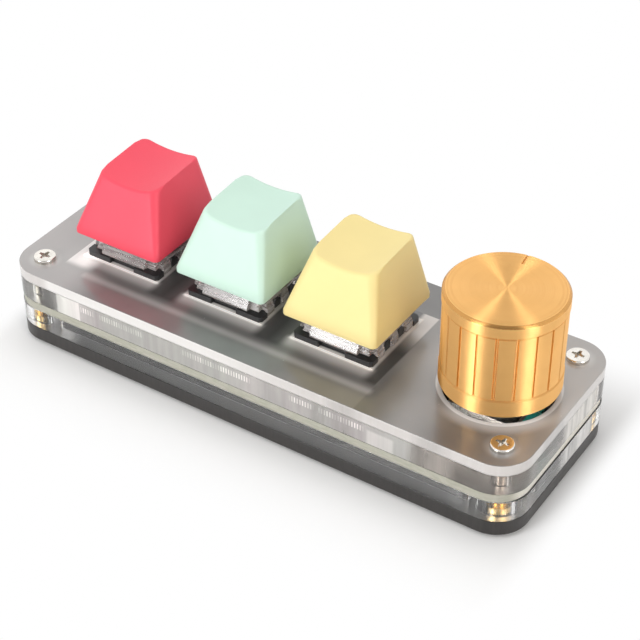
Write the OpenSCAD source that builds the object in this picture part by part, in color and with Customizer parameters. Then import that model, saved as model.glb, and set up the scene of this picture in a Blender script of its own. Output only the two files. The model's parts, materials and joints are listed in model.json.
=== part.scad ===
// Macro keypad with three key switches and one rotary knob.
// Units are millimetres. X runs along the case towards the knob, Y away from the user, Z up.
// The origin lies under the centre of the case, on the surface that the feet stand on.

/* [Case] */
// Length of every case layer
case_l = 102; // [92:0.5:130]
// Depth of every case layer
case_w = 36; // [35:0.5:50]
// Corner radius of every case layer
corner_r = 6; // [3:0.5:9]
// Thickness of the black bottom plate
floor_t = 2.8; // [2:0.1:6]
// Height of the clear lower frame
frame_h = 4; // [3.8:0.1:8]
// Front and back wall of the lower frame
frame_wall = 5; // [3:0.1:6]
// Length of the corner blocks of the lower frame
block_l = 9.1; // [8.4:0.1:9.6]
// Depth of the corner blocks of the lower frame
block_w = 10; // [8.2:0.1:10.4]
// End wall between two corner blocks
end_wall = 3.4; // [2:0.1:4]
// Thickness of the circuit board
board_t = 1.6; // [1:0.1:2]
// How far the circuit board stops short of each end of the case
board_in = 0.25; // [0:0.05:0.5]
// Thickness of the clear spacer between the board and the top cover
spacer_t = 3.95; // [3.65:0.05:6]
// Thickness of the top cover
cover_t = 2; // [1.7:0.1:2.4]
// Air film between two stacked layers
film = 0.05; // [0.02:0.01:0.1]

/* [Case hardware] */
// Distance of each case screw from the two edges beside it
screw_in = 5; // [4.6:0.1:5.4]
// Diameter of the screw shank
screw_d = 2; // [1.6:0.1:2.4]
// Diameter of the screw head
screw_head_d = 4; // [3.4:0.1:5]
// Height of the screw head
screw_head_h = 0.8; // [0.6:0.1:1.6]
// Height of the screw tip over the underside of the bottom plate
screw_tip = 1.4; // [0.8:0.1:2]
// Clearance round the screw in the cover and the board
screw_gap = 0.15; // [0.1:0.05:0.3]
// Radial gap of the screw thread in its insert
thread_gap = 0.03; // [0.01:0.01:0.08]
// Diameter of the insert spigot in the bottom plate
insert_d = 3.2; // [3:0.1:3.6]
// Diameter of the insert flange on the bottom plate
insert_flange_d = 4.6; // [4.2:0.1:5]
// Height of the insert flange
insert_flange_h = 1.5; // [1:0.1:2.4]
// Gap round the insert flange in the lower frame
insert_gap = 0.2; // [0.1:0.05:0.4]
// Diameter of a rubber foot
foot_d = 8; // [5:0.5:9]
// Thickness of a rubber foot
foot_t = 1; // [0.5:0.1:3]
// Distance of a foot centre from the end of the case
foot_in_x = 14; // [10:0.5:20]
// Distance of a foot centre from the front or back of the case
foot_in_y = 7.5; // [6:0.5:10]

/* [Keys] */
// Distance between two keys
key_pitch = 22; // [20:0.1:23]
// Place of the middle key along the case
key_x = -10.8; // [-11.2:0.1:-10.4]
// Travel of a key
key_travel = 4; // [3:0.1:4]
// Side of the square switch cut-out
cutout = 14; // [13.95:0.01:14.1]
// Distance from the outer keys to the ends of the spacer's opening for the switches
opening_end = 9.6; // [9:0.1:10.4]
// Half depth of that opening
opening_half = 10.2; // [9.2:0.1:11]
// Corner radius of that opening
opening_r = 0.8; // [0.5:0.1:2]

/* [Switches] */
// Side of the switch flange
flange = 15.6; // [15.2:0.1:16]
// Thickness of the switch flange
flange_t = 1; // [0.8:0.1:1.1]
// Depth of the switch body under the cover's top face
body_depth = 5; // [4.8:0.1:5.2]
// Wall of the switch body
body_wall = 1.3; // [1:0.1:1.6]
// Gap between the switch body and its cut-out, all round
body_gap = 0.05; // [0.02:0.01:0.1]
// Diameter of the centre post under the switch
post_d = 4; // [3.8:0.1:4.2]
// Length of the centre post under the switch
post_l = 3.3; // [3:0.1:3.4]
// Height of the clear switch cover over the case
shroud_h = 6.6; // [6.4:0.1:6.8]
// Wall of the clear switch cover
shroud_wall = 0.9; // [0.7:0.05:1]
// Height of the stem cross over the case
cross_top = 10.2; // [9.8:0.1:10.4]
// Length of a stem cross arm, tip to tip
cross_l = 4.1; // [4:0.05:4.2]
// Thickness of the cross arm that runs along the case
cross_tx = 1.1; // [1:0.05:1.2]
// Thickness of the cross arm that runs from front to back
cross_ty = 1.3; // [1.2:0.05:1.4]
// Diameter of the spring wire
wire_d = 0.3; // [0.2:0.02:0.36]
// Mean diameter of the spring
spring_d = 4; // [3.8:0.05:4.1]
// Turns of the spring
spring_turns = 9; // [6:1:10]

/* [Keycaps] */
// Side of the keycap at its skirt
cap_base = 18.2; // [18:0.1:18.6]
// Width of the keycap's top face
cap_top_w = 12.4; // [11.8:0.1:13]
// Depth of the keycap's top face
cap_top_d = 13; // [12.6:0.1:13.4]
// How far the top face lies behind the middle of the skirt
cap_shift = 1.8; // [1.4:0.1:2.1]
// Gap under the resting keycap, over the case
cap_lift = 5.3; // [5.2:0.1:5.8]
// Height of the keycap at its front edge
cap_front_h = 11; // [10.6:0.1:11.6]
// Height of the keycap at its back edge
cap_back_h = 11.7; // [11.2:0.1:12.4]
// Wall of the keycap
cap_wall = 1.3; // [1.1:0.1:1.4]
// Depth of the dish in the keycap's top face
cap_dish = 0.9; // [0.5:0.1:1.3]
// Diameter of the stem socket inside the keycap
socket_d = 5.6; // [5.4:0.1:5.8]
// Gap round the stem cross in its socket
cross_gap = 0.03; // [0.01:0.01:0.05]

/* [Encoder] */
// Distance of the knob's axis from the end of the case
knob_in = 12.5; // [12.2:0.1:13]
// Side of the encoder body
enc_side = 12; // [11.6:0.1:12.4]
// Height of the encoder body over the circuit board
enc_h = 4.5; // [4.4:0.1:5.4]
// Height of the plastic base of the encoder
enc_base_h = 3.3; // [3.2:0.1:3.3]
// Thickness of the sheet steel bracket
bracket_t = 0.4; // [0.3:0.05:0.5]
// Diameter of the bushing
bushing_d = 7; // [6.8:0.1:7.4]
// Length of the bushing over the encoder body
bushing_l = 6.5; // [5:0.1:7.5]
// Diameter of the shaft
shaft_d = 6; // [5.6:0.1:6.1]
// Height of the shaft's end over the circuit board
shaft_top = 20; // [17:0.1:21]
// Length of the flat on the shaft
flat_l = 8; // [6:0.1:8]
// Distance from the shaft's axis to its flat
flat_r = 1.5; // [1.4:0.05:2]
// Side of the square key under the shaft
key_side = 3; // [2.6:0.1:3.1]
// Radial gap of the turning shaft
run_gap = 0.05; // [0.02:0.01:0.1]
// Travel of the pushed shaft
push_travel = 0.5; // [0.3:0.05:0.5]

/* [Knob] */
// Diameter of the knob at its bands
knob_d = 20.2; // [19.8:0.1:20.6]
// Height of the knob
knob_h = 17.8; // [16:0.1:20]
// Gap under the knob, over the case
knob_lift = 1.6; // [0.8:0.1:2.4]
// Side wall of the knob shell
knob_wall = 1.5; // [1.2:0.1:2]
// Top wall of the knob shell
knob_top_t = 2.5; // [1.5:0.1:3.5]
// Height of the plain band at the top of the knob
knob_band_top = 2.5; // [1.5:0.1:4]
// Height of the plain band at the foot of the knob
knob_band_low = 3.1; // [2:0.1:5]
// Bevel round the top face of the knob
knob_bevel = 0.45; // [0.2:0.05:0.8]
// Number of flutes round the knob
flutes = 20; // [12:1:30]
// Width of a flute
flute_w = 0.5; // [0.3:0.05:0.8]
// Depth of a flute
flute_deep = 0.35; // [0.2:0.05:0.5]
// Inset of the fluted wall behind the plain bands
flute_inset = 0.12; // [0.05:0.01:0.3]
// Diameter of the hole in the cover round the encoder
knob_hole_d = 18.9; // [18:0.1:19.8]
// Radius of the spacer's opening under that hole
knob_opening_r = 10.3; // [10:0.1:10.6]
// Direction of the pointer notch, counted from +X
pointer_angle = 98; // [0:1:359]
// Distance from the knob's axis to the inner end of the pointer notch
pointer_in = 7; // [4:0.1:9]
// Width of the pointer notch
pointer_w = 0.5; // [0.3:0.05:1]

/* [Socket and board parts] */
// Place of the cable socket along the back of the case
usb_x = 0; // [-1:0.1:1]
// Width of the socket shell
usb_w = 8.94; // [8.8:0.02:9.1]
// Height of the socket shell
usb_h = 3.2; // [3.1:0.02:3.3]
// Depth of the socket shell
usb_d = 7.35; // [7:0.05:7.6]
// Wall of the socket shell
usb_wall = 0.3; // [0.2:0.02:0.34]
// Distance from the back of the case to the socket's mouth
usb_inset = 0.3; // [0:0.1:1]
// Gap beside the socket in the lower frame
usb_gap = 0.4; // [0.2:0.05:0.8]
// Length of the controller chip
chip_l = 10; // [9:0.1:11]
// Width of the controller chip's body
chip_w = 4; // [3.6:0.1:4.4]
// Side of a key light
led_side = 3; // [2.6:0.1:3.4]

/* [Hidden] */
$fn = 64;
eps = 0.02;

// Heights of the stacked layers
z_floor = foot_t;
z_frame = z_floor + floor_t + film;
z_board = z_frame + frame_h + film;
z_board_top = z_board + board_t;
z_spacer = z_board_top + film;
z_cover = z_spacer + spacer_t + film;
z_top = z_cover + cover_t;

// Knob and key places
knob_x = case_l / 2 - knob_in;
keys_x = [key_x - key_pitch, key_x, key_x + key_pitch];
left_x = keys_x[0];
middle_x = keys_x[1];
right_x = keys_x[2];

// Switch, measured from the cover's top face
body_side = cutout - 2 * body_gap;
cavity_side = body_side - 2 * body_wall;
cavity_floor = -body_depth + 1;
shroud_foot = body_side / 2 - 0.4;
shroud_top_x = 5.6;
shroud_top_y = 5.1;
shroud_roof = 0.8;
shroud_open_x = 7.4;
shroud_open_y = 6.2;
neck_x = shroud_open_x - 0.3;
neck_y = shroud_open_y - 0.7;
neck_top = shroud_h - 0.2;
shoulder_x = neck_x + 1.2;
shoulder_top = shroud_h - shroud_roof - 0.1;
slider_foot = 1.4;
pole_d = 2.2;
pole_foot = cavity_floor + key_travel - 3.1;
spring_seat = cavity_floor + film;
spring_top = shoulder_top - 1.6;
notch_w = 5.2;
light_slot_w = 4.4;
light_slot_y = -4.9;
light_slot_d = 3.4;
lens_w = 9.4;
lens_foot = flange_t + film;
lens_h = 3.4;
side_cut_y = 5.7;
side_cut_x = body_side / 2 + 0.15;
latch_y = 2.2;
latch_w = 2;
latch_h = 1.9;
leg_out = side_cut_x + 0.6;
leg_mid = 1.2;
leg_h = 2.5;
pin_a = [-3.81, 2.54];
pin_b = [2.54, 5.08];
pin_hole_d = 1.5;
pin_w = 0.8;
pin_t = 0.3;
leaf_t = 0.25;
leaf_back = 1.7;
leaf_w = 2.4;
leaf_h = 4.3;
leaf_shift = 0.5;
arm_l = 7;
arm_w = 1.2;
arm_lift = 3.1;
blade_w = 2.2;
blade_h = 4.6;
blade_shift = 0.4;

// Keycap
cap_z = z_top + cap_lift;
cap_corner_low = 1;
cap_corner_top = 1.7;
cap_rim = 0.5;
cap_tilt = atan((cap_back_h - cap_front_h) / cap_top_d);
dish_r = (pow(cap_top_w / 2, 2) + pow(cap_dish, 2)) / (2 * cap_dish);
cap_mid_h = (cap_front_h + cap_back_h) / 2;
cap_ceiling = cap_front_h - cap_dish - cap_wall;
// How far up the taper the ceiling lies, as a share of the whole taper
cap_share = cap_ceiling / cap_mid_h;

// Encoder, measured from the top face of the board
z_enc = z_board_top + film;
enc_top = z_enc + enc_h;
flange_top = enc_top - bracket_t;
chamber_d = 9.6;
chamber_floor = 1.5;
rotor_gap = 0.1;
rotor_d = chamber_d - 2 * rotor_gap;
well_d = 4.5;
plunger_d = well_d - 0.2;
plunger_h = 0.75;
detent_in = 0.9;
detent_r = 0.5;
detent_deep = 0.3;
leg_w = 9.2;
leg_low = 1.2;
tab_w = 2;
tab_drop = 2.7;
enc_pin_root = 1.2;
enc_pin_out = 1.2;
enc_pin_x = enc_side / 2 + enc_pin_out;
enc_pin_w = 0.8;
enc_pin_t = 0.4;
enc_pin_z = 0.5;
enc_pin_drop = 1.6;
enc_pin_apart = 2.5;

// Knob
knob_r = knob_d / 2;
z_knob = z_top + knob_lift;
knob_top = z_knob + knob_h;
core_gap = 0.02;
core_r = knob_r - knob_wall - core_gap;
core_lift = 2;
core_ceiling = knob_top - knob_top_t;
hub_r = 5.2;
sleeve_gap = 0.7;
sleeve_top = enc_top + bushing_l + push_travel + 0.3;
rib_t = 1.2;
ribs = 6;
ring_wall = 0.9;
line_w = 0.2;

// Cable socket and small parts under the board
usb_back = case_w / 2 - usb_inset;
usb_top = z_board - film;
usb_end = 0.8;
tongue_w = 6.7;
tongue_t = 0.7;
tongue_in = 0.5;
tongue_foot_w = 7.4;
tongue_foot_l = 1.2;
tongue_foot_h = 1.9;
chip_at = [-21.8, -6.5];
chip_h = 1.4;
chip_stand = 0.15;
lead_w = 0.4;
lead_t = 0.2;
lead_l = 0.6;
lead_step = 1.27;
chip_dot_r = 0.4;
chip_dot_in = 1;
chip_dot_deep = 0.08;
part_size = [2, 1.25, 0.8];
led_w = 2.6;
led_h = 0.85;
led_dish_r = 0.9;
led_dish_deep = 0.1;
parts_at = [[-8, -8.5], [-5, -8.5], [-2, -8.5], [2, -8.5], [5, -8.5], [8, 9], [-8, 9], [-11, 9]];

// ---------------------------------------------------------------- shared shapes

module rounded(l, w, r) {
    square([l - 2 * r, w], center = true);
    square([l, w - 2 * r], center = true);
    for (x = [-1, 1], y = [-1, 1])
        translate([x * (l / 2 - r), y * (w / 2 - r)]) circle(r);
}

module slab(l, w, r, t) {
    linear_extrude(t) rounded(l, w, r);
}

module block(size, at) {
    translate([at[0] - size[0] / 2, at[1] - size[1] / 2, at[2]]) cube(size);
}

module tube(r_out, r_in, h) {
    difference() {
        cylinder(r = r_out, h = h);
        translate([0, 0, -eps]) cylinder(r = r_in, h = h + 2 * eps);
    }
}

module at_screws() {
    for (x = [-1, 1], y = [-1, 1])
        translate([x * (case_l / 2 - screw_in), y * (case_w / 2 - screw_in), 0]) children();
}

module at_keys() {
    for (x = keys_x) translate([x, 0, 0]) children();
}

module through(r) {
    translate([0, 0, -eps]) cylinder(r = r, h = z_top + 2 * eps);
}

// ---------------------------------------------------------------- case

module bottom_plate() {
    color("#2b2a2a") difference() {
        translate([0, 0, z_floor]) slab(case_l, case_w, corner_r, floor_t);
        at_screws() through(insert_d / 2 + core_gap);
    }
}

module frame_cavity() {
    room_l = case_l - 2 * block_l;
    room_w = case_w - 2 * frame_wall;
    ends_l = case_l - 2 * end_wall;
    ends_w = case_w - 2 * block_w;
    slab(room_l, room_w, 1, frame_h + 2 * eps);
    slab(ends_l, ends_w, 1, frame_h + 2 * eps);
}

module lower_frame() {
    slot_w = usb_w + 2 * usb_gap;
    color("#e8eef0", 0.4) difference() {
        translate([0, 0, z_frame]) slab(case_l, case_w, corner_r, frame_h);
        translate([0, 0, z_frame - eps]) frame_cavity();
        at_screws() through(insert_flange_d / 2 + insert_gap);
        block([slot_w, frame_wall + 2, frame_h + 2 * eps], [usb_x, case_w / 2 - frame_wall / 2, z_frame - eps]);
    }
}

module cover_spacer() {
    opening_l = 2 * key_pitch + 2 * opening_end;
    color("#e8eef0", 0.4) difference() {
        translate([0, 0, z_spacer]) slab(case_l, case_w, corner_r, spacer_t);
        translate([key_x, 0, z_spacer - eps]) slab(opening_l, 2 * opening_half, opening_r, spacer_t + 2 * eps);
        translate([knob_x, 0, 0]) through(knob_opening_r);
        at_screws() through(screw_d / 2 + screw_gap);
    }
}

module top_cover() {
    color("#d9dee0", 0.4) difference() {
        translate([0, 0, z_cover]) slab(case_l, case_w, corner_r, cover_t);
        at_keys() block([cutout, cutout, cover_t + 2], [0, 0, z_cover - 1]);
        translate([knob_x, 0, 0]) through(knob_hole_d / 2);
        at_screws() through(screw_d / 2 + screw_gap);
    }
}

module case_screws() {
    shank = z_top - z_floor - screw_tip;
    head_r = screw_head_d / 2;
    color("#d8d2c4") at_screws() difference() {
        union() {
            translate([0, 0, z_top - shank]) cylinder(r = screw_d / 2, h = shank + eps);
            translate([0, 0, z_top]) rotate_extrude() pan_profile(head_r, screw_head_h);
        }
        translate([0, 0, z_top + screw_head_h]) cross_recess(screw_head_d * 0.56, screw_head_h * 0.7);
    }
}

// Half section of a thin pan head: flat seat, upright rim and a low rounded crown
module pan_profile(r, h) {
    rim = h * 0.65;
    crown = h - rim;
    square([r - crown, h]);
    square([r, rim]);
    intersection() {
        translate([r - crown, rim]) circle(crown);
        translate([r - crown, rim]) square([crown, crown]);
    }
}

module cross_recess(l, deep) {
    for (turn = [0, 90]) rotate([0, 0, turn]) {
        block([l, 0.5, deep + eps], [0, 0, -deep * 0.8]);
        block([l * 0.6, 0.7, deep + eps], [0, 0, -deep]);
    }
}

module threaded_inserts() {
    flange_z = z_floor + floor_t;
    spigot_z = z_floor + screw_tip * 0.5;
    color("#c9a24b") at_screws() difference() {
        union() {
            translate([0, 0, spigot_z]) cylinder(r = insert_d / 2, h = z_board - 2 * film - spigot_z);
            translate([0, 0, flange_z]) cylinder(r = insert_flange_d / 2, h = insert_flange_h);
        }
        through(screw_d / 2 + thread_gap);
    }
}

module rubber_feet() {
    color("#3a3a3c") for (x = [-1, 1], y = [-1, 1])
        translate([x * (case_l / 2 - foot_in_x), y * (case_w / 2 - foot_in_y), 0]) cylinder(r = foot_d / 2, h = foot_t);
}

// ---------------------------------------------------------------- board

module circuit_board() {
    color("#20242a") difference() {
        translate([0, 0, z_board]) slab(case_l - 2 * board_in, case_w, corner_r, board_t);
        at_screws() through(screw_d / 2 + screw_gap);
        at_keys() {
            through(post_d / 2 + 0.1);
            for (p = [pin_a, pin_b]) translate([p[0], p[1], 0]) through(pin_hole_d / 2);
        }
        translate([knob_x, 0, 0]) {
            for (y = [-1, 0, 1]) translate([-enc_pin_x, y * enc_pin_apart, 0]) through(enc_pin_w / 2 + 0.1);
            for (y = [-1, 1]) translate([enc_pin_x, y * enc_pin_apart, 0]) through(enc_pin_w / 2 + 0.1);
            for (y = [-1, 1])
                block([tab_w + 0.4, bracket_t + 0.4, z_top], [0, y * (enc_side / 2 + bracket_t / 2 + film), 0]);
        }
    }
}

// Sixteen gull-wing leads stand on the underside of the board and carry the moulded body
module controller_chip() {
    chip_z = z_board - film - chip_stand - chip_h;
    color("#1c1c1e") translate([chip_at[0], chip_at[1], 0]) {
        difference() {
            block([chip_l, chip_w, chip_h], [0, 0, chip_z]);
            translate([-chip_l / 2 + chip_dot_in, chip_w / 2 - chip_dot_in, chip_z - eps])
                cylinder(r = chip_dot_r, h = chip_dot_deep + eps);
        }
        for (i = [0:7], y = [-1, 1]) translate([(i - 3.5) * lead_step, y * chip_w / 2, 0]) {
            block([lead_w, lead_l, lead_t], [0, y * (lead_l / 2 - eps), chip_z + chip_h / 2]);
            block([lead_w, lead_t, z_board - film - chip_z - chip_h / 2], [0, y * (lead_l - lead_t / 2), chip_z + chip_h / 2]);
            block([lead_w, lead_l, lead_t], [0, y * (1.5 * lead_l - lead_t), z_board - film - lead_t]);
        }
    }
}

module board_parts() {
    color("#b59a6a") for (p = parts_at)
        block([part_size[0], part_size[1], part_size[2]], [p[0], p[1], z_board - film - part_size[2]]);
}

module key_lights() {
    color("#f0e6cf") at_keys() difference() {
        block([led_side, led_w, led_h], [0, light_slot_y, z_board_top + film]);
        translate([0, light_slot_y, z_board_top + film + led_h - led_dish_deep]) cylinder(r = led_dish_r, h = 2 * led_dish_deep);
    }
}

module socket_shell() {
    r = usb_h / 2 - eps;
    color("#c9ccd0") translate([usb_x, usb_back, usb_top - usb_h / 2]) rotate([90, 0, 0]) difference() {
        linear_extrude(usb_d) rounded(usb_w, usb_h, r);
        translate([0, 0, -eps]) linear_extrude(usb_d - usb_end)
            rounded(usb_w - 2 * usb_wall, usb_h - 2 * usb_wall, r - usb_wall);
    }
}

// Contact tongue on its foot, which stands against the closed end of the shell
module socket_tongue() {
    foot_y = usb_back - usb_d + usb_end + film;
    tongue_l = usb_back - tongue_in - foot_y;
    mid_z = usb_top - usb_h / 2;
    color("#2a2a2c") union() {
        block([tongue_w, tongue_l, tongue_t], [usb_x, foot_y + tongue_l / 2, mid_z - tongue_t / 2]);
        block([tongue_foot_w, tongue_foot_l, tongue_foot_h], [usb_x, foot_y + tongue_foot_l / 2, mid_z - tongue_foot_h / 2]);
    }
}

// ---------------------------------------------------------------- switch

module chamfered(side, c, t) {
    linear_extrude(t) difference() {
        square(side, center = true);
        for (x = [-1, 1], y = [-1, 1])
            translate([x * side / 2, y * side / 2]) rotate(45) square(c * sqrt(2), center = true);
    }
}

module switch_base(x) {
    room = cavity_side;
    color("#1f1e1e") translate([x, 0, z_top]) {
        difference() {
            union() {
                chamfered(flange, 0.5, flange_t);
                translate([0, 0, -body_depth]) linear_extrude(body_depth + eps) square(body_side, center = true);
                translate([0, 0, -body_depth - post_l]) cylinder(r = post_d / 2, h = post_l + eps);
            }
            block([room, room, body_depth + 2], [0, 0, cavity_floor]);
            translate([0, 0, -body_depth - post_l + 0.6]) cylinder(r = pole_d / 2 + 0.2, h = body_depth + post_l);
            for (y = [-1, 1]) block([notch_w, 1.6, flange_t + 2 * eps], [0, y * flange / 2, -eps]);
            for (s = [-1, 1])
                block([2, 2 * side_cut_y, flange_t + 2 * eps], [s * (side_cut_x + 1), 0, -eps]);
            block([light_slot_w, light_slot_d, 2], [0, light_slot_y, -body_depth - eps]);
            for (p = [pin_a, pin_b]) block([pin_w + 0.1, pin_t + 0.1, 3], [p[0], p[1], -body_depth - eps]);
        }
        for (s = [-1, 1], y = [-1, 1]) latch(s, y * latch_y);
    }
}

// A wedge on the side of the body that the clear cover snaps over
module latch(s, y) {
    translate([s * (body_side / 2 - eps), y, 0]) rotate([90, 0, 90]) mirror([0, 0, s < 0 ? 1 : 0])
        linear_extrude(side_cut_x - body_side / 2 + 0.3)
            polygon([[-latch_w / 2, 0], [latch_w / 2, 0], [latch_w / 4, latch_h], [-latch_w / 4, latch_h]]);
}

// Four-sided tapered block from a foot rectangle to a smaller top rectangle
module tapered(foot_x, foot_y, top_x, top_y, h) {
    polyhedron(
        [for (z = [0, 1]) each [for (c = [[-1, -1], [1, -1], [1, 1], [-1, 1]])
            [c[0] * (z ? top_x : foot_x), c[1] * (z ? top_y : foot_y), z * h]]],
        [[0, 1, 2, 3], [7, 6, 5, 4], [0, 4, 5, 1], [1, 5, 6, 2], [2, 6, 7, 3], [3, 7, 4, 0]]);
}

module switch_cover(x) {
    foot = shroud_foot;
    z0 = flange_t + film;
    h = shroud_h - z0;
    wall = shroud_wall;
    color("#e9e6ea", 0.45) translate([x, 0, z_top]) difference() {
        union() {
            translate([0, 0, z0]) tapered(foot, foot, shroud_top_x, shroud_top_y, h);
            lens_block();
            for (s = [-1, 1]) side_leg(s);
        }
        translate([0, 0, z0 - 0.5])
            tapered(foot - wall, foot - wall, shroud_top_x - wall, shroud_top_y - wall, h - shroud_roof + 0.5);
        block([shroud_open_x, shroud_open_y, shroud_h], [0, 0, shroud_h - shroud_roof - 1]);
        for (s = [-1, 1], y = [-1, 1])
            block([2.4, latch_w + 0.5, latch_h + 0.25], [s * (side_cut_x + 0.2), y * latch_y, -eps]);
    }
}

// Prism on the front of the clear cover that guides the key light
module lens_block() {
    front = body_side / 2 + 0.45;
    back = shroud_foot - 1.2;
    translate([lens_w / 2, 0, lens_foot]) rotate([90, 0, -90]) linear_extrude(lens_w)
        polygon([[back, 0], [front, 0], [front, 0.4], [front - 1.4, lens_h], [back - 0.6, lens_h]]);
}

// Skirt of the clear cover that reaches down beside the body, drawn as a section across the key
module side_leg(s) {
    w = 2 * side_cut_y - 0.3;
    in_x = side_cut_x + 0.05;
    root_x = shroud_foot - 1.2;
    low = flange_t + film;
    mirror([s < 0 ? 1 : 0, 0, 0]) translate([0, w / 2, 0]) rotate([90, 0, 0]) linear_extrude(w)
        polygon([[in_x, film], [leg_out, film], [leg_out, leg_mid], [leg_out - 0.45, leg_h],
            [root_x, leg_h], [root_x, low], [in_x, low]]);
}

module switch_stem(x) {
    color("#c8453c") translate([x, 0, z_top]) {
        block([cross_l, cross_tx, cross_top - neck_top + eps], [0, 0, neck_top - eps]);
        block([cross_ty, cross_l, cross_top - neck_top + eps], [0, 0, neck_top - eps]);
        block([neck_x, neck_y, neck_top - shoulder_top + eps], [0, 0, shoulder_top - eps]);
        difference() {
            block([shoulder_x, neck_y, shoulder_top - slider_foot], [0, 0, slider_foot]);
            translate([0, 0, slider_foot - eps]) cylinder(r = neck_y / 2 - 0.3, h = spring_top - slider_foot + 0.1);
        }
        translate([0, 0, pole_foot]) cylinder(r = pole_d / 2, h = spring_top - pole_foot + 0.2);
    }
}

// One ring of points on the wire, at a fraction f of the spring's length
function wire_ring(f, sides, r, turns, h, w) = [for (k = [0:sides - 1])
    let (a = 360 * turns * f, b = 360 * k / sides, q = r + w * cos(b))
    [q * cos(a), q * sin(a), w + (h - 2 * w) * f + w * sin(b)]];

module coil(r, h, w, turns, per_turn = 12, sides = 6) {
    n = turns * per_turn;
    points = [for (i = [0:n]) each wire_ring(i / n, sides, r, turns, h, w)];
    skin = [for (i = [0:n - 1], k = [0:sides - 1])
        let (a = i * sides + k, b = i * sides + (k + 1) % sides)
        each [[a, a + sides, b], [b, a + sides, b + sides]]];
    ends = [[for (k = [0:sides - 1]) k], [for (k = [sides - 1:-1:0]) n * sides + k]];
    polyhedron(points, concat(skin, ends));
}

module switch_spring(x) {
    color("#b8bcc2") translate([x, 0, z_top + spring_seat])
        coil(spring_d / 2, spring_top - spring_seat - film, wire_d / 2, spring_turns);
}

// Two bent contacts: a fixed leaf over one pin, and a spring arm that reaches in front of it
module switch_contacts(x) {
    foot = cavity_floor + film;
    pin_l = foot + leaf_t + body_depth + post_l;
    arm_y = pin_a[1] + leaf_back;
    color("#c98a4b") translate([x, 0, z_top]) {
        for (p = [pin_a, pin_b]) block([pin_w, pin_t, pin_l], [p[0], p[1], -body_depth - post_l]);
        block([pin_w, arm_y - pin_a[1], leaf_t], [pin_a[0], (arm_y + pin_a[1]) / 2, foot]);
        block([leaf_w, leaf_t, leaf_h], [pin_a[0] + leaf_shift, arm_y, foot]);
        block([arm_l, leaf_t, arm_w], [0, arm_y, foot + arm_lift]);
        block([blade_w, leaf_t, blade_h], [pin_b[0] - blade_shift, pin_b[1], foot]);
    }
}

// ---------------------------------------------------------------- keycap

// Corner posts of a rounded frustum: foot of side b, top of w by d, top edge heights hf and hb
module frustum(b, w, d, shift, hf, hb, r_low, r_top) {
    hull() {
        for (x = [-1, 1], y = [-1, 1]) translate([x * (b / 2 - r_low), y * (b / 2 - r_low), 0])
            cylinder(r = r_low, h = 0.6, $fn = 32);
        for (x = [-1, 1], y = [-1, 1])
            translate([x * (w / 2 - r_top), shift + y * (d / 2 - r_top), (y < 0 ? hf : hb) - cap_rim])
                rotate([atan((hb - hf) / (d - 2 * r_top)), 0, 0]) cylinder(r = r_top, h = cap_rim, $fn = 32);
    }
}

module keycap(x, tone) {
    inner_w = cap_base + (cap_top_w - cap_base) * cap_share - 2 * cap_wall;
    inner_d = cap_base + (cap_top_d - cap_base) * cap_share - 2 * cap_wall;
    rise = cap_corner_top * tan(cap_tilt);
    color(tone) translate([x, 0, cap_z]) {
        difference() {
            frustum(cap_base, cap_top_w, cap_top_d, cap_shift,
                cap_front_h + rise, cap_back_h - rise, cap_corner_low, cap_corner_top);
            translate([0, 0, -eps]) frustum(cap_base - 2 * cap_wall, inner_w, inner_d, cap_shift * cap_share,
                cap_ceiling, cap_ceiling + eps, cap_corner_low / 2, cap_corner_top / 2);
            translate([0, cap_shift, cap_mid_h - cap_dish + dish_r]) rotate([90 + cap_tilt, 0, 0])
                cylinder(r = dish_r, h = cap_base + 8, center = true, $fn = 128);
        }
        stem_socket();
    }
}

module stem_socket() {
    foot = neck_top - cap_lift + 0.15;
    cross_h = cross_top - cap_lift + 0.1;
    difference() {
        translate([0, 0, foot]) cylinder(r = socket_d / 2, h = cap_ceiling - foot + 0.3);
        block([cross_l + 2 * cross_gap, cross_tx + 2 * cross_gap, cross_h - foot + eps], [0, 0, foot - eps]);
        block([cross_ty + 2 * cross_gap, cross_l + 2 * cross_gap, cross_h - foot + eps], [0, 0, foot - eps]);
    }
}

// ---------------------------------------------------------------- encoder

module encoder_base() {
    color("#1f9a86") translate([knob_x, 0, z_enc]) difference() {
        block([enc_side, enc_side, enc_base_h], [0, 0, 0]);
        translate([0, 0, chamber_floor]) cylinder(r = chamber_d / 2, h = enc_base_h);
        translate([0, 0, -eps]) cylinder(r = well_d / 2, h = enc_base_h);
        for (s = [-1, 1], y = [-1, 0, 1])
            block([3, enc_pin_w + 0.1, enc_pin_t + 0.1], [s * enc_side / 2, y * enc_pin_apart, enc_pin_z - 0.05]);
    }
}

module encoder_bushing() {
    plate_z = z_enc + enc_base_h;
    color("#c3c6c8") translate([knob_x, 0, plate_z]) difference() {
        union() {
            block([enc_side, enc_side, flange_top - plate_z], [0, 0, 0]);
            cylinder(r = bushing_d / 2, h = enc_top - plate_z + bushing_l);
        }
        translate([0, 0, -eps]) cylinder(r = shaft_d / 2 + run_gap, h = enc_h + bushing_l);
    }
}

module encoder_bracket() {
    out = enc_side / 2 + bracket_t + film;
    plate_l = enc_side - 0.2;
    color("#e4e6e8") translate([knob_x, 0, 0]) difference() {
        union() {
            block([plate_l, 2 * out, bracket_t], [0, 0, flange_top]);
            for (y = [-1, 1]) {
                block([leg_w, bracket_t, enc_h - leg_low], [0, y * (out - bracket_t / 2), z_enc + leg_low]);
                block([tab_w, bracket_t, leg_low + tab_drop + eps], [0, y * (out - bracket_t / 2), z_enc - tab_drop]);
            }
        }
        translate([0, 0, flange_top - eps]) cylinder(r = bushing_d / 2 + 0.1, h = bracket_t + 2 * eps);
    }
}

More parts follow.
